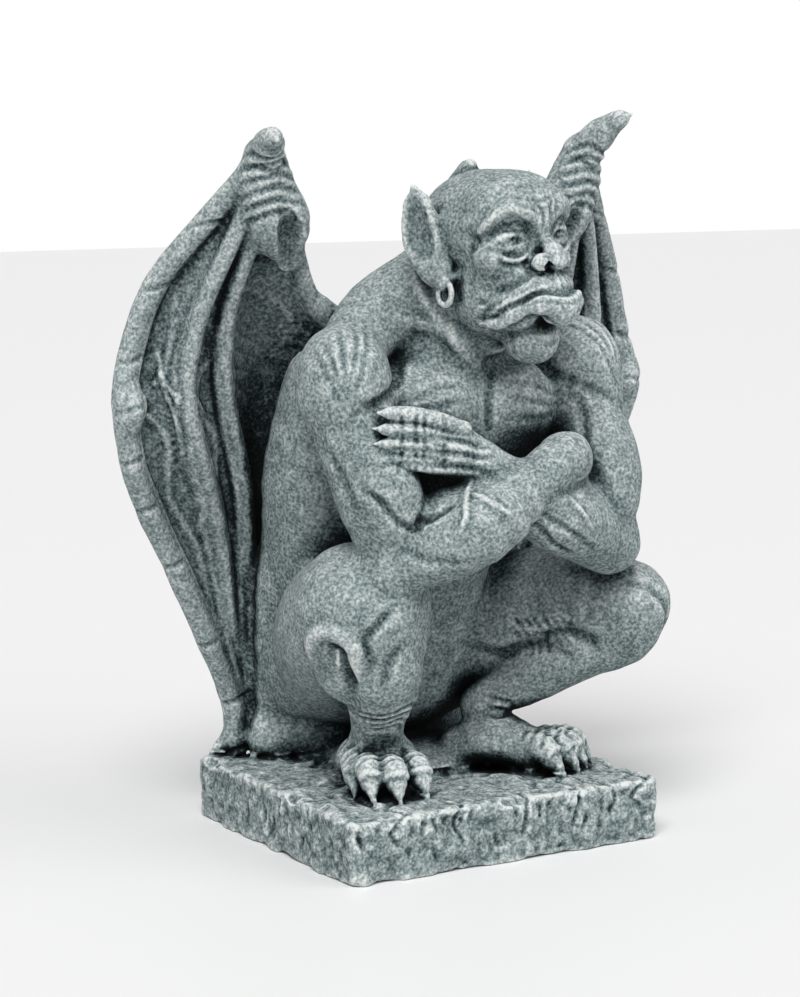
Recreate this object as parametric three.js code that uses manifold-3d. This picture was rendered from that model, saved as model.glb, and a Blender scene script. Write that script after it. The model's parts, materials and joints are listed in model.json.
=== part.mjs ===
// A crouching winged gargoyle with folded arms, cast in one with its rough stone base.
// Millimetres, +Z up. The figure faces -Y, its left hand is at +X, and the origin is under the middle of the base.
import * as THREE from "three";
import { LoftGeometry } from "three/addons/geometries/LoftGeometry.js";
import { mergeVertices } from "three/addons/utils/BufferGeometryUtils.js";
import Module from "manifold-3d";

const wasm = await Module();
wasm.setup();

// ---- Driving dimensions -------------------------------------------------------------------------------------
const BASE = { width: 200, depth: 178, height: 35, corner: 7, worn: 4 };
const STONE = { color: 0x8d9696, roughness: 0.92, metalness: 0 };

const v = (x, y, z) => new THREE.Vector3(x, y, z);

// ---- Shapes ---------------------------------------------------------------------------------------------------
// A closed geometry becomes a solid once only its positions are left and shared corners are merged.
function solid(geometry) {
  geometry.deleteAttribute("normal");
  geometry.deleteAttribute("uv");
  const merged = mergeVertices(geometry, 1e-4);
  return new wasm.Manifold(
    new wasm.Mesh({
      numProp: 3,
      vertProperties: merged.attributes.position.array,
      triVerts: new Uint32Array(merged.index.array),
    }),
  );
}

const join = (geometries) => geometries.map(solid).reduce((whole, next) => whole.add(next));

// The same geometry on the other side of the middle, with its faces still pointing out.
function mirrored(geometry) {
  geometry.scale(-1, 1, 1);
  const index = geometry.index.array;
  for (let i = 0; i < index.length; i += 3) [index[i], index[i + 1]] = [index[i + 1], index[i]];
  return geometry;
}

const lofted = (sections) =>
  new THREE.BufferGeometry().copy(new LoftGeometry(sections, { capStart: true, capEnd: true }));

// An ellipsoid with its radii along X, Y and Z, turned by Euler angles in degrees.
function ball(centre, radii, turn = [0, 0, 0], around = 10, rings = 6) {
  const g = new THREE.SphereGeometry(1, around, rings);
  g.rotateX(Math.PI / 2);
  g.scale(...radii);
  const [x, y, z] = turn.map(THREE.MathUtils.degToRad);
  g.applyMatrix4(new THREE.Matrix4().makeRotationFromEuler(new THREE.Euler(x, y, z, "ZYX")));
  return g.translate(...centre.toArray());
}

// An ellipsoid stretched from a to b, with its own radius across.
function muscle(a, b, across, around = 10, rings = 7) {
  const g = new THREE.SphereGeometry(1, around, rings);
  g.scale(across, a.distanceTo(b) / 2, across);
  const turn = new THREE.Quaternion().setFromUnitVectors(v(0, 1, 0), b.clone().sub(a).normalize());
  g.applyQuaternion(turn);
  return g.translate(...a.clone().add(b).multiplyScalar(0.5).toArray());
}

// A radius read off a list of radii, smoothly, at share t of the way along.
function radiusAt(radii, t) {
  const place = Math.min(t * (radii.length - 1), radii.length - 1 - 1e-9);
  const i = Math.floor(place);
  return THREE.MathUtils.lerp(radii[i], radii[i + 1], THREE.MathUtils.smoothstep(place - i, 0, 1));
}

// A round limb through the points, with rounded ends. wide stretches each section along the side direction.
function limb(points, radii, { sides = 8, steps = 2, wide = 1, side = v(1, 0, 0.01) } = {}) {
  const curve = new THREE.CatmullRomCurve3(points, false, "centripetal");
  const count = (points.length - 1) * steps;
  const section = (t, along, shrink) => {
    const tangent = curve.getTangent(t);
    const across = side.clone().addScaledVector(tangent, -side.dot(tangent)).normalize();
    const up = tangent.clone().cross(across);
    const radius = radiusAt(radii, t);
    const centre = curve.getPoint(t).addScaledVector(tangent, along * radius);
    return Array.from({ length: sides }, (_, k) => {
      const angle = (k / sides) * 2 * Math.PI;
      return centre
        .clone()
        .addScaledVector(across, wide * shrink * radius * Math.cos(angle))
        .addScaledVector(up, shrink * radius * Math.sin(angle));
    });
  };
  const dome = sides > 8 ? [[0.85, 0.45], [0.5, 0.83]] : [[0.6, 0.65]];
  const sections = dome.map(([out, shrink]) => section(0, -out, shrink));
  for (let i = 0; i <= count; i++) sections.push(section(i / count, 0, 1));
  sections.push(...dome.reverse().map(([out, shrink]) => section(1, out, shrink)));
  return lofted(sections);
}

// A closed sheet over a grid of points, reaching half[i][j] to the front and the back of each.
function sheet(grid, half) {
  const rows = grid.length, columns = grid[0].length;
  const position = [-1, 1].flatMap((way) =>
    grid.flatMap((line, i) => line.flatMap((p, j) => [p.x, p.y + way * half[i][j], p.z])),
  );
  const corner = (layer, i, j) => layer * rows * columns + i * columns + j;
  const index = [];
  const face = (a, b, c, d) => index.push(a, b, c, a, c, d);
  for (let i = 0; i < rows - 1; i++)
    for (let j = 0; j < columns - 1; j++) {
      face(corner(0, i, j), corner(0, i, j + 1), corner(0, i + 1, j + 1), corner(0, i + 1, j));
      face(corner(1, i, j), corner(1, i + 1, j), corner(1, i + 1, j + 1), corner(1, i, j + 1));
    }
  for (let i = 0; i < rows - 1; i++) {
    face(corner(0, i, 0), corner(0, i + 1, 0), corner(1, i + 1, 0), corner(1, i, 0));
    const j = columns - 1;
    face(corner(0, i + 1, j), corner(0, i, j), corner(1, i, j), corner(1, i + 1, j));
  }
  for (let j = 0; j < columns - 1; j++) {
    face(corner(0, 0, j + 1), corner(0, 0, j), corner(1, 0, j), corner(1, 0, j + 1));
    const i = rows - 1;
    face(corner(0, i, j), corner(0, i, j + 1), corner(1, i, j + 1), corner(1, i, j));
  }
  const geometry = new THREE.BufferGeometry();
  geometry.setAttribute("position", new THREE.Float32BufferAttribute(position, 3));
  geometry.setIndex(index);
  return geometry;
}

// ---- Base and the boulder it sits on ---------------------------------------------------------------------------
// The slab's sides and top edge wander a little, as if hewn, by a mix of waves that never repeats around it.
function base() {
  const rough = (k, seed) => Math.sin(2.4 * k + seed) * 0.6 + Math.sin(5.3 * k + 2 * seed) * 0.4;
  const outline = (inset, z, seed, wander) => {
    const w = BASE.width / 2 - inset, d = BASE.depth / 2 - inset, c = BASE.corner;
    const corners = [
      v(w - c, -d, z), v(w, -d + c, z), v(w, d - c, z), v(w - c, d, z),
      v(-w + c, d, z), v(-w, d - c, z), v(-w, -d + c, z), v(-w + c, -d, z),
    ];
    return corners.flatMap((corner, i) => {
      const next = corners[(i + 1) % corners.length];
      const cuts = i % 2 ? 3 : 1;
      return Array.from({ length: cuts }, (_, j) => {
        const p = corner.clone().lerp(next, j / cuts);
        const out = 1 + (wander * rough(i + j * 0.7, seed)) / 200;
        return v(p.x * out, p.y * out, z + (z > BASE.worn ? 0.4 * wander * rough(i * 1.7 + j, seed + 1) : 0));
      });
    });
  };
  const slab = lofted([
    outline(0, 0, 1, 1), outline(0, BASE.height - BASE.worn, 2, 2.5),
    outline(BASE.worn, BASE.height - 0.5, 4, 1),
  ]);
  const top = BASE.height;
  return [
    slab,
    ball(v(0, 62, top + 16), [62, 25, 36], [8, 0, 0], 9, 6),
    ball(v(-57, 72, top + 12), [20, 15, 22], [0, 15, 20], 6, 4),
    ball(v(-58, 68, top + 52), [15, 15, 30], [0, 8, 0], 6, 4),
    ball(v(57, 72, top + 14), [20, 15, 24], [0, -15, -20], 6, 4),
    ball(v(58, 68, top + 50), [15, 15, 30], [0, -8, 0], 6, 4),
    ball(v(0, 24, top + 2), [46, 46, 14], [0, 0, 0], 8, 4),
  ];
}

// ---- Body -------------------------------------------------------------------------------------------------------
function torso() {
  const both = [1, -1].flatMap((s) => [
    ball(v(30 * s, -38, 246), [38, 24, 27], [0, 0, 16 * s], 8, 5), // chest muscle
    ball(v(75 * s, -38, 262), [26, 28, 31], [0, 8 * s, 0], 8, 5), // shoulder
    limb([v(50 * s, 10, 250), v(56 * s, 28, 200), v(42 * s, 44, 130)], [32, 30, 30], { sides: 7, steps: 1 }), // flank
    ball(v(38 * s, 56, 98), [38, 32, 44], [0, 0, 0], 8, 5), // seat
    limb([v(70 * s, -30, 275), v(40 * s, -18, 296), v(12 * s, -22, 316)], [18, 22, 20], { sides: 6, steps: 1 }), // slope of the neck
  ]);
  return [
    ...both,
    limb([v(0, 40, 96), v(0, 16, 155), v(0, -2, 215), v(0, -10, 262)], [48, 42, 50, 38], { wide: 1.1, sides: 10, steps: 1 }),
    ball(v(0, -16, 232), [60, 44, 46], [0, 0, 0], 9, 5),
    limb([v(0, -18, 276), v(6, -44, 318)], [35, 29], { sides: 8, steps: 1 }),
  ];
}

// ---- Head, in its own frame: face towards -Y, then turned and set on the neck -----------------------------------
const HEAD = { centre: v(8, -58, 338), yaw: 13, roll: -4 };
function head() {
  // points along one half of an arc across the face, repeated on the other half
  const arc = (half) => [...half.map(([x, y, z]) => v(-x, y, z)), ...half.slice(0, -1).reverse().map((p) => v(...p))];
  const both = [1, -1].flatMap((s) => [
    ball(v(21 * s, -20, -10), [10, 9, 9], [0, 0, 0], 7, 4), // cheek
    ball(v(23 * s, -4, -32), [12, 18, 19], [25, 0, 0], 7, 4), // jaw
  ]);
  return [
    ...both,
    ball(v(0, 6, 8), [34, 38, 30], [0, 0, 0], 12, 7), // skull
    ball(v(0, -8, 6), [30, 25, 25], [0, 0, 0], 8, 5), // forehead
    ball(v(0, -12, -12), [27, 24, 30], [0, 0, 0], 8, 4), // face
    limb(arc([[28, -14, 13], [17, -28, 17], [0, -34, 9]]), [3, 4.5, 4.5, 4.5, 3], { sides: 5, steps: 1 }), // brow
    limb([v(0, -33, 5), v(0, -39, -2), v(0, -44, -10)], [4, 5, 6.5], { sides: 6, steps: 1, wide: 1.3 }), // nose
    ball(v(0, -24, -25), [25, 24, 15], [0, 0, 0], 8, 4), // muzzle
    limb(arc([[26, -17, -40], [20, -36, -38], [10, -46, -36], [0, -48, -36]]), [3, 5, 7, 7.5, 7, 5, 3],
      { sides: 6, steps: 1 }), // lower lip
    limb(arc([[25, -18, -33], [16, -40, -26], [0, -46, -22]]), [3, 4, 5, 4, 3], { sides: 5, steps: 1 }), // upper lip
    ball(v(0, -20, -49), [17, 16, 15], [0, 0, 0], 7, 5), // chin
    ball(v(0, -6, -34), [24, 22, 20], [0, 0, 0], 7, 4), // throat
    limb([v(0, 19, 33), v(1, 21, 40)], [6.5, 5], { sides: 6, steps: 1 }), // stub on the crown
  ];
}

// An ear's pointed shell and the hollow cut into it, both flat across the line from its front edge to its back.
const earLimb = (s, points, radii, sides) =>
  limb(points.map(([x, y, z]) => v(x * s, y, z)), radii, { sides, steps: 1, wide: 2.2, side: v(0.65 * s, 0.76, 0) });
const earShell = (s) =>
  earLimb(s, [[34, 5, -20], [37, 9, -12], [40, 13, 1], [41, 14, 12], [43, 14, 23], [45, 15, 33]],
    [2.4, 3.8, 5, 5, 3.4, 0.8], 7);
const earHollow = (s) =>
  earLimb(s, [[42, 9, -5], [45, 10, 6], [47, 11, 22]], [2.2, 3.6, 1.2], 6);
// the ring hangs from the right ear only
const earring = () => new THREE.TorusGeometry(6.2, 1.8, 5, 9).rotateY(Math.PI / 2).translate(-36, 3, -26);

function setHead() {
  const { centre, yaw, roll } = HEAD;
  const place = new THREE.Matrix4()
    .makeTranslation(...centre)
    .multiply(new THREE.Matrix4().makeRotationZ(THREE.MathUtils.degToRad(yaw)))
    .multiply(new THREE.Matrix4().makeRotationY(THREE.MathUtils.degToRad(roll)));
  const put = (geometries) => join(geometries.map((g) => g.applyMatrix4(place)));
  const ears = [1, -1].map((s) => put([earShell(s)]).subtract(put([earHollow(s)])));
  return put([...head(), earring()]).add(ears[0]).add(ears[1]);
}

// ---- Arms ---------------------------------------------------------------------------------------------------------
const ARM = {
  left: { shoulder: v(76, -40, 254), elbow: v(80, -64, 168), fore: v(30, -84, 190), wrist: v(-16, -80, 221) },
  right: { shoulder: v(-75, -40, 254), elbow: v(-56, -62, 166), fore: v(-24, -94, 188), wrist: v(22, -92, 216) },
};
function arm({ shoulder, elbow, fore, wrist }) {
  const middle = shoulder.clone().lerp(elbow, 0.5).add(v(0, -2, 0));
  return [
    limb([shoulder, middle, elbow], [23, 23, 17], { sides: 8, steps: 1 }),
    muscle(shoulder.clone().lerp(elbow, 0.1).add(v(0, -13, 0)), elbow.clone().add(v(0, -10, 10)), 19, 7, 5), // biceps
    limb([elbow, fore, wrist], [18, 20, 12], { sides: 8, side: v(0, 1, 0.01) }),
    muscle(elbow.clone().add(v(0, 4, 6)), fore.clone().lerp(wrist, 0.4).add(v(0, 0, 4)), 20, 7, 5),
  ];
}

// A finger from its knuckle, bending to a pointed claw.
const finger = (root, bend, tip, thick) =>
  limb([root, bend, bend.clone().lerp(tip, 0.6), tip], [thick, thick, thick * 0.85, 0.8],
    { sides: 5, steps: 1, side: v(0, 0, 1) });

function leftHand() {
  const wrist = ARM.left.wrist;
  const fingers = [0, 1, 2, 3].map((k) => {
    const down = k - 1.5;
    const spread = Math.abs(down) * 2;
    return finger(
      v(-30 + spread, -82, 229 - 7 * down),
      v(-55 + spread, -80, 235 - 8.2 * down),
      v(-79 + spread * 1.6, -73, 238 - 8 * down),
      5,
    );
  });
  return [limb([wrist, v(-30, -79, 228)], [12, 15], { sides: 8, steps: 1, wide: 0.62, side: v(0, 1, 0) }), ...fingers];
}

function rightHand() {
  const wrist = ARM.right.wrist;
  return [limb([wrist, v(36, -86, 220), v(46, -70, 214)], [13, 15, 14], { sides: 8 })];
}

// ---- Legs -----------------------------------------------------------------------------------------------------------
const LEG = {
  left: {
    thigh: [v(38, 35, 98), v(76, -6, 121), v(106, -44, 126)],
    shin: [v(104, -46, 112), v(70, -30, 96), v(30, -11, 70)],
    calf: [v(88, -30, 104), v(44, -12, 88)],
    girth: [38, 36, 27, 20, 18, 12],
    foot: [v(22, -6, 46), v(34, -18, 52), v(50, -36, 46)],
    claws: [v(52, -64, 36), v(65, -60, 36), v(74, -56, 36), v(82, -49, 36)],
  },
  right: {
    thigh: [v(-38, 35, 98), v(-58, -8, 124), v(-64, -38, 138)],
    shin: [v(-56, -48, 118), v(-56, -46, 104), v(-49, -28, 66)],
    calf: [v(-78, -38, 126), v(-68, -34, 88)],
    girth: [37, 38, 38, 22, 22, 14],
    foot: [v(-44, -14, 46), v(-48, -26, 52), v(-50, -40, 46)],
    claws: [v(-72, -44, 36), v(-70, -60, 36), v(-58, -69, 36), v(-40, -67, 36)],
  },
};
function leg({ thigh, shin, calf, girth, foot, claws }) {
  const ahead = foot[2].clone().sub(foot[0]).setZ(0).normalize();
  const across = v(-ahead.y, ahead.x, 0);
  const digits = claws.map((tip, k) => {
    const fan = ahead.clone().add(v(0.15 * (k - 2.2), 0, 0)).normalize();
    const back = (along, z) => tip.clone().addScaledVector(fan, -along).setZ(z);
    return limb([back(26, 51), back(14, 51), back(8, 45), tip], [7.5, 8, 6, 1.5], { sides: 5, steps: 1, side: across });
  });
  return [
    limb(thigh, girth.slice(0, 3), { sides: 9 }),
    limb(shin, girth.slice(3), { sides: 8, steps: 1 }),
    muscle(...calf, 16, 7, 5),
    limb(foot, [13, 15, 12], { sides: 7, steps: 1, wide: 1.5, side: across }),
    ...digits,
  ];
}

// ---- Wings ------------------------------------------------------------------------------------------------------------
// The lines of a left wing from its wrist down to the base: the outer finger, two ribs and the inner edge on the back.
const WING = {
  lines: [
    [v(106, 2, 378), v(127, 20, 348), v(150, 38, 313), v(163, 44, 273), v(168, 40, 247), v(162, 45, 218),
      v(149, 54, 190), v(129, 62, 156), v(103, 70, 107), v(84, 79, 70), v(79, 83, 40)],
    [v(103, 0, 374), v(116, 10, 338), v(128, 22, 302), v(134, 28, 272), v(134, 30, 250), v(126, 36, 226),
      v(112, 48, 196), v(98, 62, 160), v(88, 72, 116), v(78, 80, 76), v(75, 84, 40)],
    [v(99, -1, 370), v(105, 10, 336), v(110, 26, 302), v(110, 34, 272), v(106, 40, 250), v(98, 46, 226),
      v(88, 54, 196), v(80, 66, 160), v(77, 74, 120), v(73, 80, 78), v(70, 85, 40)],
    [v(92, 4, 362), v(78, 10, 334), v(66, 16, 308), v(50, 22, 288), v(46, 34, 258), v(54, 44, 226),
      v(60, 52, 190), v(65, 58, 158), v(70, 68, 122), v(68, 78, 80), v(65, 85, 40)],
  ],
  thick: [6.5, 4.5, 4.5, 4],
  sag: [12, 10, 24],
  hood: [v(103, -2, 384), v(100, 1, 366), v(92, 4, 348), v(82, 9, 326)],
  claw: { left: [v(102, -1, 376), v(107, -10, 391), v(114, -20, 401), v(119, -28, 405)],
    right: [v(102, -1, 376), v(105, -10, 387), v(109, -22, 393), v(112, -34, 392)] },
};

// One closed sheet, thick along the lines and thin between them, where it sags backwards.
function skin({ lines, thick, sag }) {
  const curves = lines.map((points) => new THREE.CatmullRomCurve3(points, false, "centripetal"));
  const rows = 11, thin = 2.2;
  const grid = [], half = [];
  for (let row = 0; row <= rows; row++) {
    const t = row / rows;
    const posts = curves.map((curve) => curve.getPoint(t));
    const line = [posts[0]], halves = [thick[0]];
    for (let k = 0; k < posts.length - 1; k++)
      for (const share of [0.25, 0.75, 1]) {
        const back = sag[k] * Math.sin(Math.PI * share) * Math.sin(Math.PI * Math.min(1, t + 0.1));
        line.push(posts[k].clone().lerp(posts[k + 1], share).add(v(0, back, 0)));
        halves.push(share === 1 ? thick[k + 1] : thin);
      }
    grid.push(line);
    half.push(halves);
  }
  return sheet(grid, half);
}
function wing(claw) {
  return [
    skin(WING),
    limb([v(30, 8, 272), v(58, 15, 298)], [20, 6], { sides: 7, steps: 1 }), // root on the back
    limb(WING.hood, [10, 14, 16, 6], { sides: 8, steps: 1, wide: 1.15 }), // wrist, like a hood over the hollow
    limb(claw, [12, 9.5, 6, 1.2], { sides: 7, steps: 1 }),
    ball(v(165, 39, 247), [7.5, 9, 13], [0, 0, 0], 6, 3), // knuckle of the outer finger
    limb([v(80, 83, 46), v(88, 85, 41), v(93, 86, 37)], [7, 4, 1], { sides: 6, steps: 1 }), // foot of the wing
  ];
}

// ---- Assembly -----------------------------------------------------------------------------------------------------------
const stone = join([
  ...base(), ...torso(), ...arm(ARM.left), ...arm(ARM.right), ...leftHand(), ...rightHand(),
  ...leg(LEG.left), ...leg(LEG.right), ...wing(WING.claw.left), ...wing(WING.claw.right).map(mirrored),
]).add(setHead());

function toMesh(made, name) {
  const mesh = made.getMesh();
  const geometry = new THREE.BufferGeometry();
  geometry.setAttribute("position", new THREE.BufferAttribute(new Float32Array(mesh.vertProperties), 3));
  geometry.setIndex(new THREE.BufferAttribute(new Uint32Array(mesh.triVerts), 1));
  geometry.computeVertexNormals();
  const part = new THREE.Mesh(geometry, new THREE.MeshStandardMaterial(STONE));
  part.name = name;
  return part;
}

const gargoyle = new THREE.Group();
gargoyle.add(toMesh(stone, "gargoyle"));
export default gargoyle;
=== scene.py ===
# A crouching winged gargoyle of cast stone: its carved surface and its finish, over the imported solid.
# The clay below is laid out in millimetres, +Z up, with the figure facing -Y and its left hand at +X.
import json
import math

import bpy
import numpy as np
import openvdb
from mathutils import Euler, Matrix, Vector

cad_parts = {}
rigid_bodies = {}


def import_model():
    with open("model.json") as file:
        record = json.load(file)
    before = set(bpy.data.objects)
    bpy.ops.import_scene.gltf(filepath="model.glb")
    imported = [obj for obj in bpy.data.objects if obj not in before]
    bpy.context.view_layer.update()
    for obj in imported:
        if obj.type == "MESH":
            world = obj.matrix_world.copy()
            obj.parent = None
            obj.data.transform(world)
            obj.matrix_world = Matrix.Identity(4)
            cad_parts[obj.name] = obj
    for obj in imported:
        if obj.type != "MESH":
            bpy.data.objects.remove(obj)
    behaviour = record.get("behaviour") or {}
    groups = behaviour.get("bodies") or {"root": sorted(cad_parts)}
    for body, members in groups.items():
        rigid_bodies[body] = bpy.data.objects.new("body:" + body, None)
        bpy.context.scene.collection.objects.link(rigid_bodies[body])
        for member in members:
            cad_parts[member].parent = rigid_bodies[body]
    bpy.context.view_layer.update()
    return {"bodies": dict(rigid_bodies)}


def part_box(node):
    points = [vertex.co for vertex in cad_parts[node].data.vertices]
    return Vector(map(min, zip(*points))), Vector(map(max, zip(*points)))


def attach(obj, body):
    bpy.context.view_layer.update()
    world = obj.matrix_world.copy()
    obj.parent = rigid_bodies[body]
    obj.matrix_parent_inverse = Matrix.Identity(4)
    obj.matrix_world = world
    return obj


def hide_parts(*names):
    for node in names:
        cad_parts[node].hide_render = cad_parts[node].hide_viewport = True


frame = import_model()

# ---- Sizes ---------------------------------------------------------------------------------------
LOW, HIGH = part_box("gargoyle")
TALL = 406.1  # height of the statue that the figures below are laid out on
MM = (HIGH.z - LOW.z) / TALL  # metres for one of their millimetres
BASE = {"half": (100, 89), "top": 35}
HEAD = {"centre": (8, -58, 338), "yaw": 13, "roll": -4}
PITCH = 0.85  # finest voxel
TRIANGLES = 196_000
FAR = 60.0  # what the clay holds where no shape is near
ROOM = ((-180, -122, -6), (180, 98, 416))  # low and high corner of the figure's clay
HEAD_ROOM = ((-62, -72, -74), (62, 62, 58))  # and of the head's, about its own centre
FLAT = (1, 1, 0)


def v(*xyz):
    return np.array(xyz, float)


def unit(a):
    return np.asarray(a, float) / np.linalg.norm(a)


def turned(degrees):
    return np.array(Euler([math.radians(a) for a in degrees], "XYZ").to_matrix())


def mix(a, b, share):
    return np.asarray(a) * (1 - share) + np.asarray(b) * share


def ease(t):
    return t * t * (3 - 2 * t)


def melt(a, b, blend):
    """The lesser of two distances, rounded off where they are within blend of each other."""
    near = np.maximum(blend - np.abs(a - b), 0)
    return np.minimum(a, b) - near * near / (4 * blend)


# ---- Lines and shapes ----------------------------------------------------------------------------
def curve(points, per=4):
    """Points along the smooth line through the given ones, per of them to each stretch."""
    p = np.array(points, float)
    p = np.vstack([2 * p[0] - p[1], p, 2 * p[-1] - p[-2]])
    out = []
    for i in range(1, len(p) - 2):
        a, b, c, d = p[i - 1 : i + 3]
        for t in np.arange(per) / per:
            out.append(0.5 * (2 * b + (c - a) * t + (2 * a - 5 * b + 4 * c - d) * t**2
                              + (3 * b - a - 3 * c + d) * t**3))
    return np.array(out + [p[-2]])


def along(values, count):
    """A list of values read off smoothly at count even steps."""
    place = np.minimum(np.linspace(0, len(values) - 1, count), len(values) - 1 - 1e-9)
    i = place.astype(int)
    values = np.array(values, float)
    return mix(values[i], values[np.minimum(i + 1, len(values) - 1)], ease(place - i))


# A shape is the two corners of its box and a function that gives the distance to its surface.
def ball(centre, radii, turn=(0, 0, 0)):
    centre, m = v(*centre), turned(turn)
    radii = v(*radii) if np.ndim(radii) else np.full(3, float(radii))
    reach = np.sqrt(((m * radii) ** 2).sum(1))

    def distance(x, y, z):
        x, y, z = x - centre[0], y - centre[1], z - centre[2]
        near = far = 0
        for k in range(3):
            share = (m[0, k] * x + m[1, k] * y + m[2, k] * z) / radii[k]
            near = near + share * share
            far = far + (share / radii[k]) ** 2
        near = np.sqrt(near)
        return near * (near - 1) / np.maximum(np.sqrt(far), 1e-6)

    return centre - reach, centre + reach, distance


def limb(points, radii, wide=1.0, side=(1, 0, 0.01), per=4):
    """A round bar along a smooth line. wide stretches its section along the side direction."""
    spine = curve(points, per) if per > 1 else np.array(points, float)
    girth = along(radii, len(spine))
    side = unit(side)

    def distance(x, y, z):
        best = None
        for a, b, ra, rb in zip(spine[:-1], spine[1:], girth[:-1], girth[1:]):
            way = b - a
            length = way @ way
            px, py, pz = x - a[0], y - a[1], z - a[2]
            t = np.clip((px * way[0] + py * way[1] + pz * way[2]) / length, 0, 1)
            px, py, pz = px - t * way[0], py - t * way[1], pz - t * way[2]
            square = px * px + py * py + pz * pz
            if wide != 1:
                across = unit(side - way * (side @ way) / length)
                square -= (px * across[0] + py * across[1] + pz * across[2]) ** 2 * (1 - 1 / wide**2)
            d = np.sqrt(square) - (ra + t * (rb - ra))
            best = d if best is None else np.minimum(best, d)
        return best

    reach = girth.max() * max(wide, 1)
    return spine.min(0) - reach, spine.max(0) + reach, distance


def muscle(a, b, across, flat=1.0, side=(1, 0, 0)):
    """An ellipsoid from a to b, flattened by flat along the side direction."""
    a, b = v(*a), v(*b)
    way = unit(b - a)
    side = unit(v(*side) - way * (v(*side) @ way))
    m = np.stack([side, np.cross(way, side), way], 1)
    turn = [math.degrees(t) for t in Matrix(m.tolist()).to_euler("XYZ")]
    return ball((a + b) / 2, (across * flat, across, np.linalg.norm(b - a) / 2), turn)


def slab(low, high, rounding):
    low, high = v(*low), v(*high)
    middle, half = (low + high) / 2, (high - low) / 2 - rounding

    def distance(x, y, z):
        q = [np.abs(c - m) - h for c, m, h in zip((x, y, z), middle, half)]
        outside = np.sqrt(sum(np.maximum(k, 0) ** 2 for k in q))
        return outside + np.minimum(np.maximum(np.maximum(q[0], q[1]), q[2]), 0) - rounding

    return low, high, distance


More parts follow.
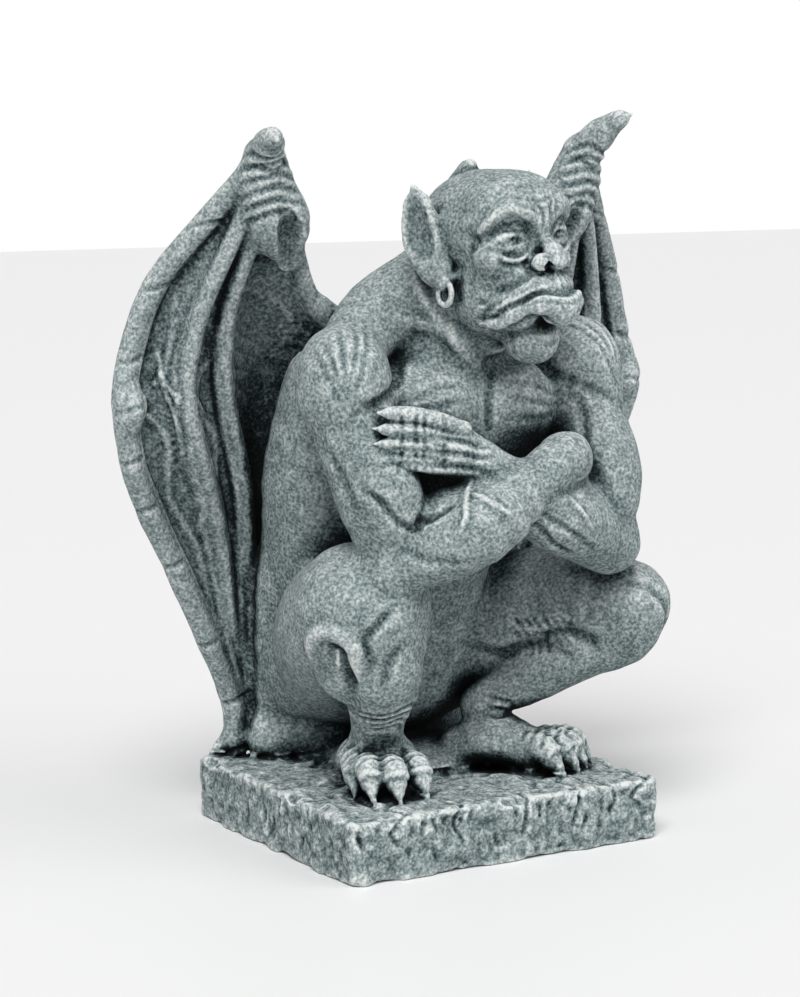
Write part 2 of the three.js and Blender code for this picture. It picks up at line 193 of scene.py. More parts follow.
# ---- Clay ----------------------------------------------------------------------------------------
class Clay:
    """Voxels that hold how far each point is outside the surface, which shapes are added to and cut from."""

    def __init__(self, low, high, pitch):
        self.low, self.pitch = v(*low), pitch
        count = np.ceil((v(*high) - self.low) / pitch).astype(int) + 1
        self.field = np.full(count, FAR, np.float32)

    def window(self, low, high):
        """The voxels of a box: their place in the field, and their x, y and z."""
        first = np.maximum(np.floor((low - self.low) / self.pitch).astype(int), 0)
        last = np.minimum(np.ceil((high - self.low) / self.pitch).astype(int) + 1, self.field.shape)
        last = np.maximum(first, last)
        axes = [(self.low[k] + self.pitch * np.arange(first[k], last[k])).astype(np.float32)
                for k in range(3)]
        place = tuple(slice(a, b) for a, b in zip(first, last))
        return place, axes[0][:, None, None], axes[1][None, :, None], axes[2][None, None, :]

    def add(self, shape, blend=4.0, reach=None):
        low, high, distance = shape
        reach = max(blend, 4 * self.pitch) if reach is None else reach
        place, x, y, z = self.window(low - reach, high + reach)
        self.field[place] = melt(self.field[place], distance(x, y, z), blend)

    def cut(self, shape, blend=2.0):
        low, high, distance = shape
        place, x, y, z = self.window(low - blend, high + blend)
        self.field[place] = -melt(-self.field[place], distance(x, y, z), blend)

    def read(self, points):
        """The field between voxels at each point."""
        p = (np.asarray(points) - self.low) / self.pitch
        p = np.clip(p, 0, np.array(self.field.shape) - 1.001)
        i = p.astype(int)
        t = (p - i).astype(np.float32)
        total = 0
        for corner in np.ndindex(2, 2, 2):
            share = np.prod([t[:, k] if c else 1 - t[:, k] for k, c in enumerate(corner)], 0)
            total = total + share * self.field[i[:, 0] + corner[0], i[:, 1] + corner[1], i[:, 2] + corner[2]]
        return total

    def slope(self, points):
        step = np.eye(3) * self.pitch
        return np.stack([self.read(points + s) - self.read(points - s) for s in step], 1) / (2 * self.pitch)

    def settle(self, points, times=5):
        """The points moved onto the surface."""
        points = np.array(points, float)
        for _ in range(times):
            slope = self.slope(points)
            steep = np.maximum((slope**2).sum(1), 0.05)
            points -= slope * np.clip(self.read(points) / steep, -5, 5)[:, None]
        return points

    def stroke(self, points, width, depth, fade=1.0, per=5, lay=True):
        """A groove along a line laid on the surface, or with a depth under 0 a ridge.

        It thins out at its ends unless fade is 0."""
        line = curve(points, per)
        if lay:
            line = self.settle(line)
        share = np.linspace(0, 1, len(line))
        thin = np.ones(len(line))
        if fade:
            thin = np.minimum(1, np.sin(np.pi * np.clip(share, 0.02, 0.98)) ** 0.6 * 1.25)
        reach = 2.3 * width
        place, x, y, z = self.window(line.min(0) - reach, line.max(0) + reach)
        nearest = np.full(self.field[place].shape, reach**2, np.float32)
        power = np.zeros_like(nearest)
        for a, b, pa, pb in zip(line[:-1], line[1:], thin[:-1], thin[1:]):
            way = b - a
            px, py, pz = x - a[0], y - a[1], z - a[2]
            t = np.clip((px * way[0] + py * way[1] + pz * way[2]) / max(way @ way, 1e-9), 0, 1)
            square = (px - t * way[0]) ** 2 + (py - t * way[1]) ** 2 + (pz - t * way[2]) ** 2
            closer = square < nearest
            nearest = np.where(closer, square, nearest)
            power = np.where(closer, pa + t * (pb - pa), power)
        self.field[place] += depth * power * np.exp(-nearest / width**2) * (nearest < reach**2)

    def press(self, centre, radii, depth, turn=(0, 0, 0)):
        """A soft dent, or with a depth under 0 a swelling."""
        m, radii = turned(turn), np.broadcast_to(np.array(radii, float), 3)
        reach = 2.2 * np.sqrt(((m * radii) ** 2).sum(1))
        centre = v(*centre)
        place, x, y, z = self.window(centre - reach, centre + reach)
        x, y, z = x - centre[0], y - centre[1], z - centre[2]
        far = sum(((m[0, k] * x + m[1, k] * y + m[2, k] * z) / radii[k]) ** 2 for k in range(3))
        self.field[place] += depth * np.exp(-far)

    def roughen(self, low, high, size, height, seed, share=None):
        """Lumps of about the given size all over a box, faded by share(x, y, z)."""
        place, x, y, z = self.window(v(*low), v(*high))
        noise = lumps(x, y, z, size, seed)
        self.field[place] += height * noise * (share(x, y, z) if share else 1)

    def finer(self):
        """The same clay on voxels of half the size."""
        f = self.field
        for axis in range(3):
            f = np.moveaxis(f, axis, 0)
            out = np.empty((2 * f.shape[0] - 1, *f.shape[1:]), np.float32)
            out[::2] = f
            out[1::2] = (f[:-1] + f[1:]) / 2
            f = np.moveaxis(out, 0, axis)
        self.field, self.pitch = np.ascontiguousarray(f), self.pitch / 2

    def mesh(self):
        grid = openvdb.FloatGrid(self.pitch * 3)
        grid.copyFromArray(np.clip(self.field, -3 * self.pitch, 3 * self.pitch))
        points, triangles, quads = grid.convertToPolygons(isovalue=0.0)
        return points * self.pitch + self.low, triangles, quads


def lumps(x, y, z, size, seed):
    """Smooth random lumps between -1 and 1, on a lattice that belongs to the seed."""
    rng = np.random.default_rng(seed)
    weights, first = [], []
    for axis in (x.ravel(), y.ravel(), z.ravel()):
        place = axis / size
        start = math.floor(place[0])
        i = np.floor(place).astype(int) - start
        t = ease(place - np.floor(place))
        w = np.zeros((len(axis), i[-1] + 2), np.float32)
        w[np.arange(len(axis)), i] = 1 - t
        w[np.arange(len(axis)), i + 1] = t
        weights.append(w)
        first.append(w.shape[1])
    lattice = rng.uniform(-1, 1, first).astype(np.float32)
    return np.einsum("xa,yb,zc,abc->xyz", *weights, lattice, optimize=True)


# ---- Base and boulder ----------------------------------------------------------------------------
def base(clay):
    (w, d), top = BASE["half"], BASE["top"]
    clay.add(slab((-w, -d, 0), (w, d, top), 2.5), 1)
    for s in (1, -1):  # the corners are worn off
        clay.cut(ball((s * (w + 5), -d - 5, 18), (9, 9, 40)), 3)
    for shape in (
        ball((0, 62, top + 16), (62, 25, 36), (8, 0, 0)),
        ball((-57, 72, top + 12), (20, 15, 22), (0, 15, 20)),
        ball((-58, 68, top + 52), (15, 15, 30), (0, 8, 0)),
        ball((57, 72, top + 14), (20, 15, 24), (0, -15, -20)),
        ball((58, 68, top + 50), (15, 15, 30), (0, -8, 0)),
        ball((0, 24, top + 2), (46, 46, 14)),
    ):
        clay.add(shape, 5)


# ---- Body ----------------------------------------------------------------------------------------
def torso(clay):
    clay.add(limb([(0, 40, 96), (0, 16, 155), (0, -2, 215), (0, -10, 262)], [48, 42, 50, 38], 1.1), 8, 12)
    clay.add(ball((0, -16, 232), (60, 44, 46)), 10, 12)
    for s in (1, -1):
        clay.add(limb([(50 * s, 10, 250), (56 * s, 28, 200), (42 * s, 44, 130)], [32, 30, 30]), 10, 12)
        clay.add(ball((38 * s, 56, 98), (38, 32, 44)), 10, 12)
    clay.add(limb([(0, -18, 276), (6, -44, 318)], [35, 29], per=2), 10, 12)
    for s in (1, -1):
        clay.add(limb([(70 * s, -30, 275), (40 * s, -18, 296), (12 * s, -22, 316)], [18, 22, 20]), 10, 12)
        clay.add(ball((30 * s, -38, 246), (38, 24, 27), (0, 0, 16 * s)), 6, 12)
        clay.add(ball((75 * s, -38, 262), (26, 28, 31), (0, 8 * s, 0)), 6, 12)


ARM = {
    "left": {"shoulder": (76, -40, 254), "elbow": (80, -64, 168),
             "fore": (30, -84, 190), "wrist": (-16, -80, 221)},
    "right": {"shoulder": (-75, -40, 254), "elbow": (-56, -62, 166),
              "fore": (-24, -94, 188), "wrist": (22, -92, 216)},
}


def arm(clay, shoulder, elbow, fore, wrist):
    shoulder, elbow, fore, wrist = (v(*p) for p in (shoulder, elbow, fore, wrist))
    middle = mix(shoulder, elbow, 0.5) + v(0, -2, 0)
    clay.add(limb([shoulder, middle, elbow], [23, 23, 17]), 6, 12)
    clay.add(muscle(mix(shoulder, elbow, 0.1) + v(0, -13, 0), elbow + v(0, -10, 10), 19), 5, 12)
    clay.add(limb([elbow, fore, wrist], [18, 20, 12]), 5, 12)
    clay.add(muscle(elbow + v(0, 4, 6), mix(fore, wrist, 0.4) + v(0, 0, 4), 20), 5, 12)


def left_hand(clay):
    wrist = v(*ARM["left"]["wrist"])
    clay.add(limb([wrist, (-30, -79, 228)], [12, 15], 0.62, (0, 1, 0), 2), 4)
    for k in range(4):
        down = k - 1.5
        spread = abs(down) * 2
        root = v(-30 + spread, -82, 229 - 7 * down)
        bend = v(-55 + spread, -80, 235 - 8.2 * down)
        tip = v(-79 + spread * 1.6, -73, 238 - 8 * down)
        clay.add(limb([root, bend, mix(bend, tip, 0.6), tip], [5, 5, 4.2, 0.8]), 1.5)


def right_hand(clay):
    clay.add(limb([ARM["right"]["wrist"], (36, -86, 220), (46, -70, 214)], [13, 15, 14]), 4, 12)


LEG = {
    "left": {
        "thigh": [(38, 35, 98), (76, -6, 121), (106, -44, 126)],
        "shin": [(104, -46, 112), (70, -30, 96), (30, -11, 70)],
        "calf": [(88, -30, 104), (44, -12, 88)], "girth": [38, 36, 27, 20, 18, 12],
        "foot": [(22, -6, 46), (34, -18, 52), (50, -36, 46)],
        "claws": [(52, -64, 36), (65, -60, 36), (74, -56, 36), (82, -49, 36)],
    },
    "right": {
        "thigh": [(-38, 35, 98), (-58, -8, 124), (-64, -38, 138)],
        "shin": [(-56, -48, 118), (-56, -46, 104), (-49, -28, 66)],
        "calf": [(-78, -38, 126), (-68, -34, 88)], "girth": [37, 38, 38, 22, 22, 14],
        "foot": [(-44, -14, 46), (-48, -26, 52), (-50, -40, 46)],
        "claws": [(-72, -44, 36), (-70, -60, 36), (-58, -69, 36), (-40, -67, 36)],
    },
}


def leg(clay, parts):
    clay.add(limb(parts["thigh"], parts["girth"][:3]), 8, 12)
    clay.add(limb(parts["shin"], parts["girth"][3:]), 6, 12)
    clay.add(muscle(*parts["calf"], 16), 5, 12)


def toes(parts):
    """The line of the foot, the way across it, and each claw's tip with the way its toe points."""
    line = [v(*p) for p in parts["foot"]]
    ahead = unit((line[2] - line[0]) * FLAT)
    fans = [(v(*tip), unit(ahead + v(0.15 * (k - 2.2), 0, 0))) for k, tip in enumerate(parts["claws"])]
    return line, v(-ahead[1], ahead[0], 0), fans


def foot(clay, parts):
    line, across, fans = toes(parts)
    clay.add(limb(line, [13, 15, 12], 1.5, across), 5)
    for tip, fan in fans:

        def back(far, high):
            return (tip - fan * far) * FLAT + v(0, 0, high)

        clay.add(limb([back(26, 51), back(14, 51), back(8, 45)], [7.5, 8, 6]), 2.5)
        clay.add(limb([back(10, 46), back(5, 43), tip], [5, 4, 1]), 1)


# ---- Wings ---------------------------------------------------------------------------------------
WING = {
    "outer": [(106, 2, 378), (127, 20, 348), (150, 38, 313), (163, 44, 273), (168, 40, 247), (162, 45, 218),
              (149, 54, 190), (129, 62, 156), (103, 70, 107), (84, 79, 70), (79, 83, 40)],
    "rib": [(103, 0, 374), (116, 10, 338), (128, 22, 302), (134, 28, 272), (134, 30, 250), (126, 36, 226),
            (112, 48, 196), (98, 62, 160), (88, 72, 116), (78, 80, 76), (75, 84, 40)],
    "inner_rib": [(99, -1, 370), (105, 10, 336), (110, 26, 302), (110, 34, 272), (106, 40, 250),
                  (98, 46, 226), (88, 54, 196), (80, 66, 160), (77, 74, 120), (73, 80, 78), (70, 85, 40)],
    "edge": [(92, 4, 362), (78, 10, 334), (66, 16, 308), (50, 22, 288), (46, 34, 258), (54, 44, 226),
             (60, 52, 190), (65, 58, 158), (70, 68, 122), (68, 78, 80), (65, 85, 40)],
}
LINES = ("outer", "rib", "inner_rib", "edge")
SAG = (12, 10, 24)  # how far the skin sags back between each two lines
SKIN = 3.6  # half its thickness
HOOD = [(103, -2, 384), (100, 1, 366), (92, 4, 348), (82, 9, 326)]
CLAW = {1: [(102, -1, 376), (107, -10, 391), (114, -20, 401), (119, -28, 405)],
        -1: [(102, -1, 376), (105, -10, 387), (109, -22, 393), (112, -34, 392)]}


def sheet(lines, columns=40):
    """Points on a fine net between neighbouring lines, where it sags backwards."""
    curves = [curve(line, 22) for line in lines]
    points = []
    for k, (a, b) in enumerate(zip(curves, curves[1:])):
        t = np.linspace(0, 1, len(a))
        for share in np.linspace(0, 1, columns, endpoint=k == len(curves) - 2):
            p = mix(a, b, share)
            p[:, 1] += SAG[k] * math.sin(math.pi * share) * np.sin(np.pi * np.minimum(1, t + 0.1))
            points.append(p)
    return np.concatenate(points)


def skin(clay, s):
    """The wing's thin skin, laid as a sheet whose depth is known at each place seen from the front."""
    points = sheet([[(s * x, y, z) for x, y, z in WING[name]] for name in LINES])
    low, high = points.min(0) - 8, points.max(0) + 8
    place, x, y, z = clay.window(low, high)
    shape = (x.shape[0], z.shape[2])
    i = np.round((points[:, 0] - x[0, 0, 0]) / clay.pitch).astype(int)
    j = np.round((points[:, 2] - z[0, 0, 0]) / clay.pitch).astype(int)
    total, count = np.zeros(shape), np.zeros(shape)
    np.add.at(total, (i, j), points[:, 1])
    np.add.at(count, (i, j), 1)
    depth, known = total / np.maximum(count, 1), count > 0
    inside = known.copy()
    for _ in range(int(9 / clay.pitch)):  # carry the depth a little way past the edges
        near = sum(np.roll(np.where(known, depth, 0), k, a) for a in (0, 1) for k in (1, -1))
        many = sum(np.roll(known, k, a).astype(int) for a in (0, 1) for k in (1, -1))
        grown = (many > 0) & ~known
        depth = np.where(grown, near / np.maximum(many, 1), depth)
        known = known | grown
    inside = spread(inside.astype(float), 3) > 0.2
    outline = spread(np.where(inside, -1.0, 1.0), 3) * 3 * clay.pitch
    gx, gz = np.gradient(depth, clay.pitch)
    lean = np.sqrt(1 + np.minimum(gx**2 + gz**2, 9))
    d = (np.abs(y - depth[:, None, :]) - SKIN) / lean[:, None, :]
    d = np.maximum(d, outline[:, None, :])
    d = np.where(known[:, None, :], d, FAR).astype(np.float32)
    clay.field[place] = melt(clay.field[place], d, 3.0)


def spread(a, times):
    for _ in range(times):
        for axis in range(a.ndim):
            a = (np.roll(a, 1, axis) + 2 * a + np.roll(a, -1, axis)) / 4
    return a


def wing(clay, s):
    def out(points):
        return [(s * x, y, z) for x, y, z in points]

    skin(clay, s)
    for line, thick in zip(LINES, (6.5, 4.5, 4.5, 4)):
        clay.add(limb(out(WING[line]), [thick, thick], per=3), 4, 8)
    clay.add(limb(out([(30, 8, 272), (58, 15, 298)]), [20, 6]), 8, 12)
    # the flank's flesh behind the skin's inner edge
    clay.add(limb(out([(56, 36, 215), (61, 44, 180), (64, 53, 140), (66, 62, 105)]), [10, 15, 15, 10]), 5, 8)
    clay.add(limb(out(HOOD), [10, 14, 16, 6], 1.15, (1, 0, 0)), 4, 10)
    clay.add(ball((s * 165, 39, 247), (7.5, 9, 13)), 4, 8)
    clay.add(limb(out([(80, 83, 46), (88, 85, 41), (93, 86, 37)]), [7, 4, 1]), 3)
    clay.add(limb(out(CLAW[s]), [12, 9.5, 6, 1.2]), 3)
    # the hollow under the hood
    clay.cut(limb(out([(97, -14, 354), (90, -9, 340), (84, -1, 322), (77, 10, 300)]), [3, 8, 8.5, 4]), 3)


# ---- Head: its own clay, face towards -Y, later turned and set on the neck -----------------------
def arc(half):
    """Points from the right side over to the left, from the right half that ends on the middle."""
    return list(half) + [(-x, y, z) for x, y, z in half[-2::-1]]


def sides(points):
    """The same points on the right side of the head and on the left."""
    return [list(points), [(-x, y, z) for x, y, z in points]]


def skull(clay):
    clay.add(ball((0, 6, 8), (34, 38, 30)), 4)
    clay.add(ball((1, -13, 13), (33, 27, 24.5)), 6)  # forehead
    clay.add(ball((0, -12, -10), (30, 24, 30)), 6)
    for s in (1, -1):
        clay.add(ball((25 * s, -20, -6), (8, 9, 8), (0, 0, 20 * s)), 7)  # cheekbone
        clay.add(ball((21.5 * s, -8, -30), (10.5, 17, 15.5), (15, 0, 0)), 8)  # jaw
        clay.add(ball((15 * s, -26, -35), (12, 14, 11)), 6)  # flesh beside the mouth
    clay.add(ball((0, -29, -25), (20, 20, 12.5)), 8)  # muzzle
    clay.add(ball((0, -25, -53), (15.5, 14, 13)), 5)  # chin
    clay.add(ball((0, -6, -34), (24, 22, 20)), 8)
    clay.add(limb([(0, 25, 29), (1, 20, 36), (0, 16, 40)], [7, 6, 3.5]), 2)  # broken stub on the crown
    brow = [(-32, -20, 8), (-30, -25, 13), (-25, -29, 17.5), (-18, -33, 18.5), (-9, -35.5, 14),
            (0, -35.5, 9.5)]
    clay.add(limb(arc(brow), [1, 2, 2.5, 2.5, 2.8, 3, 2.8, 2.5, 2.5, 2, 1]), 4.5)


def eyes(clay):
    for s in (1, -1):
        clay.press((16 * s, -35, 6), (11, 7, 8), 4.2)
        clay.press((10 * s, -37, 4), (5, 6, 6), 2.4)  # the inner corner lies deepest
        clay.add(ball((18.5 * s, -22.4, 2.6), 9), 1.0)
    upper = [(-9.5, -32.5, 1.8), (-13, -33, 5), (-18.5, -32, 5.9), (-24, -28, 4.4), (-28, -23.5, 0)]
    for lid in sides(upper):
        clay.stroke(lid, 1.3, -2.2)
    lower = [(-9.5, -32.5, 1), (-13, -32.5, -0.6), (-18.5, -31.5, -1.4), (-24, -27.5, -1.2), (-28, -23.5, 0)]
    for lid in sides(lower):
        clay.stroke(lid, 1.2, -1.6)
    for gap in sides([(-10, -33.5, -3), (-14.5, -33, -5.4), (-20, -31, -5.6), (-25.5, -26.5, -3.6)]):
        clay.stroke(gap, 1.0, 1.2)
    for bag in sides([(-10, -34, -5.4), (-14.5, -33.5, -7.8), (-20.5, -31, -7.8), (-26, -26, -5.4)]):
        clay.stroke(bag, 1.2, -1.3)
    for gap in sides([(-10, -34.5, -8.6), (-15, -33.5, -10.6), (-22, -30.5, -10.2), (-27, -26, -7)]):
        clay.stroke(gap, 1.3, 1.2)
    over = [(-8, -35, 6), (-12, -34.5, 10), (-18, -32.5, 11.4), (-25, -28, 9.4), (-30, -22.5, 4)]
    for fold in sides(over):
        clay.stroke(fold, 1.6, 1.5)
    for s in (1, -1):
        clay.press((18.2 * s, -31.6, 3.6), 1.5, 2.4)  # drilled pupil
        ring = [(18.2 * s + 3.2 * math.cos(t), -31, 3.6 + 3.2 * math.sin(t))
                for t in np.linspace(0, 2 * math.pi, 9)]
        clay.stroke(ring, 0.8, 0.8, fade=0)


def nose(clay):
    clay.add(limb([(0, -35, 7), (0, -38.5, 1), (0, -43, -5), (0, -45.5, -9.5)], [3, 3.8, 4.8, 4.8], 1.35), 4)
    for s in (1, -1):
        clay.add(ball((8 * s, -39.5, -9.5), (4.8, 6.4, 5), (0, 0, 15 * s)), 2.0)
        nostril = [(5.6 * s, -47.5, -14.5), (6.4 * s, -43.5, -11), (7.5 * s, -38, -9)]
        clay.cut(limb(nostril, [2.4, 2.5, 1.6]), 1.0)
        rim = [(7.6 * s + s * 3.8 * math.cos(t), -43 + 1.2 * math.cos(t), -10 + 4.2 * math.sin(t))
               for t in np.linspace(-2.2, 2.2, 8)]
        clay.stroke(rim, 1.1, -0.8)
    for crease in sides([(-8, -37, -2.5), (-13, -37, -5.5), (-15, -36, -10.5), (-13.5, -38, -14.5)]):
        clay.stroke(crease, 1.5, 2.2)  # round the wing of the nose
    for wrinkle in sides([(-2.6, -38, 7), (-3.2, -38, 12), (-3, -36, 17), (-5.5, -33, 21)]):
        clay.stroke(wrinkle, 1.3, 1.9)
    for wrinkle in sides([(-7, -36.5, 10.5), (-6.5, -36, 15), (-8.5, -33.5, 19.5)]):
        clay.stroke(wrinkle, 1.2, 1.1)
    clay.stroke([(-5, -38, 4.5), (0, -39.5, 3), (5, -38, 4.5)], 1.2, 1.2)
    clay.stroke([(-6, -39, 1), (0, -41.5, -1), (6, -39, 1)], 1.0, 0.8)


def mouth(clay):
    lower = arc([(-28, -15, -41), (-24, -26, -40.5), (-18, -37, -34.5), (-10, -45, -31.5), (0, -46.5, -35)])
    clay.add(limb(lower, [2.5, 4.4, 4.2, 7, 9.6, 7, 4.2, 4.4, 2.5]), 1.5)
    line = arc([(-28.5, -17, -38), (-25, -24, -36), (-20.5, -33, -32), (-15.5, -42, -26.4), (-8, -50, -25),
                (0, -52.5, -25.6)])
    clay.stroke(line, 1.4, 3.0)
    for fold in sides([(-26, -24, -33.5), (-21, -33, -28.5), (-15.5, -42, -23.4), (-8, -48.5, -21.6)]):
        clay.stroke(fold, 1.2, -0.8)
    # the lip's lower edge curls under, and the flesh below its corner is dimpled
    under = arc([(-27, -22, -46), (-22, -33, -42.5), (-17, -41, -38.5), (-11, -46, -41), (-5, -47, -46.5),
                 (0, -47, -47)])
    clay.stroke(under, 2.2, 2.8)
    inner = arc([(-22, -33, -36.5), (-16, -43, -31), (-9, -52, -30.5), (0, -55, -32)])
    clay.stroke(inner, 1.3, 0.9)
    for s in (1, -1):
        clay.press((23 * s, -33, -46.5), (3.5, 4, 2.5), 3.6)
        clay.press((17 * s, -36, -51), (3, 4, 2), 2.0)
        clay.stroke([(8 * s, -54, -32), (5 * s, -56, -36), (4.5 * s, -55, -41)], 1.3, 0.8)
    for fold in sides([(-12, -38, -14.5), (-17, -35, -19), (-23, -29, -22.6), (-29, -20, -23.5)]):
        clay.stroke(fold, 2.0, 1.9)  # nose to mouth
    for fold in sides([(-31, -14, -28), (-29, -21, -31.5), (-30, -17, -38), (-28, -15, -47)]):
        clay.stroke(fold, 2.2, 1.6)
    for fold in sides([(-24, -28, -28.5), (-27, -23, -32), (-29, -18, -36)]):
        clay.stroke(fold, 1.5, 1.0)
    for crease in sides([(-2.4, -50, -16), (-2.8, -51.5, -19.5), (-3, -51.5, -22.5)]):
        clay.stroke(crease, 1.2, -0.8)
    clay.stroke([(-9, -39, -53), (0, -40.5, -54.5), (9, -39, -53)], 2.0, 1.0)
    for fold in sides([(-14, -24, -44), (-16.5, -24, -53), (-12, -24, -62)]):
        clay.stroke(fold, 1.8, 1.5)  # round the chin


def wrinkles(clay):
    for k in range(4):  # across the forehead, following the brow
        high = 23 + 3.6 * k
        line = arc([(-27, -20, high - 3), (-17, -28, high + 1.4), (-7, -33, high - 0.6), (0, -33, high - 2)])
        clay.stroke(line, 1.5, 1.2 - 0.2 * k)
    for fold in sides([(-33, -8, 10), (-31, -16, 4), (-32, -13, -4), (-31, -12, -12)]):
        clay.stroke(fold, 2.4, 1.4)
    for fold in sides([(-30, -20, 2), (-33, -13, 5.5)]) + sides([(-30, -20, -1), (-33, -13, -1.5)]):
        clay.stroke(fold, 1.1, 0.9)
    for s in (1, -1):
        clay.press((31 * s, -8, 20), (8, 10, 8), 1.6)  # temple


def ear(clay, s):
    side = (0.65 * s, 0.76, 0)

    def place(points):
        return [(s * x, y, z) for x, y, z in points]

    shell = place([(33, 4, -19), (37, 9, -12), (40, 13, 1), (41, 14, 12), (43, 14, 23), (45, 15, 33)])
    clay.add(limb(shell, [3, 4.6, 5.4, 5, 3.6, 0.9], 2.1, side), 3)
    hollow = place([(43.5, 7, -9), (45, 9.5, -2), (46.5, 11.5, 6), (47, 12, 15), (47.5, 13, 24),
                    (47, 13.5, 29)])
    clay.cut(limb(hollow, [1.5, 4.4, 5.4, 4.8, 3, 0.8], 1.55, side), 1.2)
    clay.stroke(place([(43, 10, 27), (41, 6.5, 16), (39, 5, 7), (38, 5, -4)]), 1.2, -1.0)
    clay.stroke(place([(46.5, 18, 26), (48, 20, 16), (48.5, 20, 4), (46, 17, -8)]), 1.3, -1.0)
    clay.add(ball((s * 36.5, 4.5, -19), (3.2, 4.2, 4.6)), 2.5)


def earring():
    """A ring through the lobe, hanging flat beside the jaw."""
    middle = v(-37.2, 2.5, -25)
    return limb([middle + v(0.6 * math.sin(t), 5 * math.cos(t), 6.2 * math.sin(t))
                 for t in np.linspace(0, 2 * math.pi, 17)], [1.7, 1.7], per=1)


def head():
    clay = Clay(*HEAD_ROOM, PITCH)
    skull(clay)
    nose(clay)
    eyes(clay)
    mouth(clay)
    wrinkles(clay)
    for s in (1, -1):
        ear(clay, s)
    clay.add(earring(), 0.6)
    return clay


def set_head(clay, made):
    """The head's clay is read at each voxel of the figure's, turned, and joined to the neck."""
    turn = turned((0, 0, HEAD["yaw"])) @ turned((0, HEAD["roll"], 0))
    centre = v(*HEAD["centre"])
    corners = np.array([[a, b, c] for a in (-60, 60) for b in (-70, 60) for c in (-72, 56)])
    corners = corners @ turn.T + centre
    place, x, y, z = clay.window(corners.min(0), corners.max(0))
    x, y, z = x - centre[0], y - centre[1], z - centre[2]
    points = np.stack([(turn[0, k] * x + turn[1, k] * y + turn[2, k] * z).ravel() for k in range(3)], 1)
    size = np.array(made.field.shape) * made.pitch + made.low
    inside = ((points > made.low) & (points < size - made.pitch)).all(1)
    d = np.full(len(points), FAR, np.float32)
    d[inside] = made.read(points[inside])
    clay.field[place] = melt(clay.field[place], d.reshape(clay.field[place].shape), 5.0)


# ---- Finer carving -------------------------------------------------------------------------------
def carve_body(clay):
    for line in sides([(-6, -55, 281), (-21, -49, 290), (-40, -38, 295)]):
        clay.stroke(line, 3.2, -2.6)  # collar bone
    for line in sides([(-2, -52, 272), (-14, -52, 286), (-24, -42, 304), (-27, -30, 318)]):
        clay.stroke(line, 3.4, -2.8)  # neck tendon
    for line in sides([(-35, -25, 275), (-46, -46, 266), (-58, -57, 259), (-70, -63, 254), (-80, -62, 250)]):
        clay.stroke(line, 3.2, 4)  # between shoulder and breast
    clay.stroke([(6, -52, 270), (8, -52, 262), (5, -56, 251), (4, -56, 241), (3, -56, 230)], 2.4, 2.6)
    clay.press((6, -54, 272), (6, 6, 6), 3)
    for k in range(5):  # strands of the shoulder muscle
        lean = 7 * k
        for line in sides([(-62 - 1.2 * lean, -36 - 0.3 * lean, 291 - 0.35 * lean),
                           (-76 - 0.7 * lean, -58, 276 - 0.3 * lean), (-84 - 0.3 * lean, -62, 256)]):
            clay.stroke(line, 2, 1.3)
    for k in range(3):  # strands of the breast muscle
        for line in sides([(-14, -60, 262 - 10 * k), (-34, -60, 258 - 9 * k), (-52, -60, 252 - 6 * k)]):
            clay.stroke(line, 2.2, 1.0)
    # folded arms
    fold = [(-80, -70, 210), (-75, -77, 204), (-65, -80, 192), (-54, -80, 189), (-46, -89, 194),
            (-39, -94, 200)]
    clay.stroke(fold, 2.2, 3.6)
    clay.stroke([(-22, -85, 214), (-28, -90, 207), (-36, -100, 201), (-39, -104, 194), (-42, -102, 187)],
                1.3, -2)
    clay.stroke([(-30, -95, 204), (-22, -104, 198), (-14, -108, 196)], 1.2, -1.6)
    clay.stroke([(-2, -108, 190), (21, -96, 177), (39, -90, 169)], 2, 2.4)
    clay.stroke([(8, -106, 194), (30, -98, 184), (50, -92, 172)], 1.8, 1.6)
    clay.stroke([(29, -100, 199), (36, -101, 192), (45, -99, 182)], 1.3, -1.8)
    clay.stroke([(-66, -80, 178), (-50, -88, 174), (-34, -96, 178)], 3, 1.8)
    clay.stroke([(56, -58, 262), (60, -66, 246), (58, -72, 228)], 3, 3)
    clay.stroke([(-94, -50, 232), (-88, -60, 214), (-80, -66, 196)], 3.4, 2.2)


def carve_legs(clay):
    # the rolled fold beside the near calf, and the gap inside it
    fold = [(-89, -36, 111), (-96, -41, 122), (-97, -50, 131), (-92, -58, 133), (-84, -63, 126),
            (-78, -58, 112), (-73, -58, 101)]
    clay.stroke(fold, 4.2, -5)
    clay.stroke([(-88, -50, 116), (-90, -56, 124), (-84, -60, 118), (-80, -54, 106), (-78, -50, 96)],
                3.4, 5.5)
    clay.stroke([(-66, -74, 146), (-74, -72, 138), (-80, -68, 128), (-76, -66, 118)], 2.6, 2.6)
    clay.stroke([(-60, -76, 124), (-66, -70, 112), (-66, -62, 100)], 3, 2.6)
    clay.press((-62, -74, 142), (13, 10, 11), -2.5)  # kneecap
    for k in range(4):  # wrinkles round the ankle
        high = 88 - 6 * k
        clay.stroke([(-68, -44, high), (-60, -54, high - 3), (-48, -56, high + 1), (-40, -46, high - 1)],
                    1.5, 1.9)
    clay.stroke([(59, -34, 112), (67, -43, 115), (77, -51, 111), (81, -55, 105)], 3, 4)
    clay.stroke([(26, -5, 104), (43, -17, 101), (55, -28, 104), (72, -40, 100)], 3, 4)
    clay.stroke([(96, -58, 140), (108, -56, 132), (114, -52, 120), (110, -54, 108)], 3, 2.6)
    for k in range(3):
        high = 78 - 6 * k
        clay.stroke([(26, -24, high), (36, -26, high - 3), (44, -18, high)], 1.5, 1.8)
    for k in range(12):  # fur inside the thigh
        x, z = 34 + 6 * (k % 6), 122 - 9 * (k // 6)
        clay.stroke([(x, -24 - 0.3 * x, z), (x + 4, -28 - 0.3 * x, z - 7)], 1.6, 1.6)


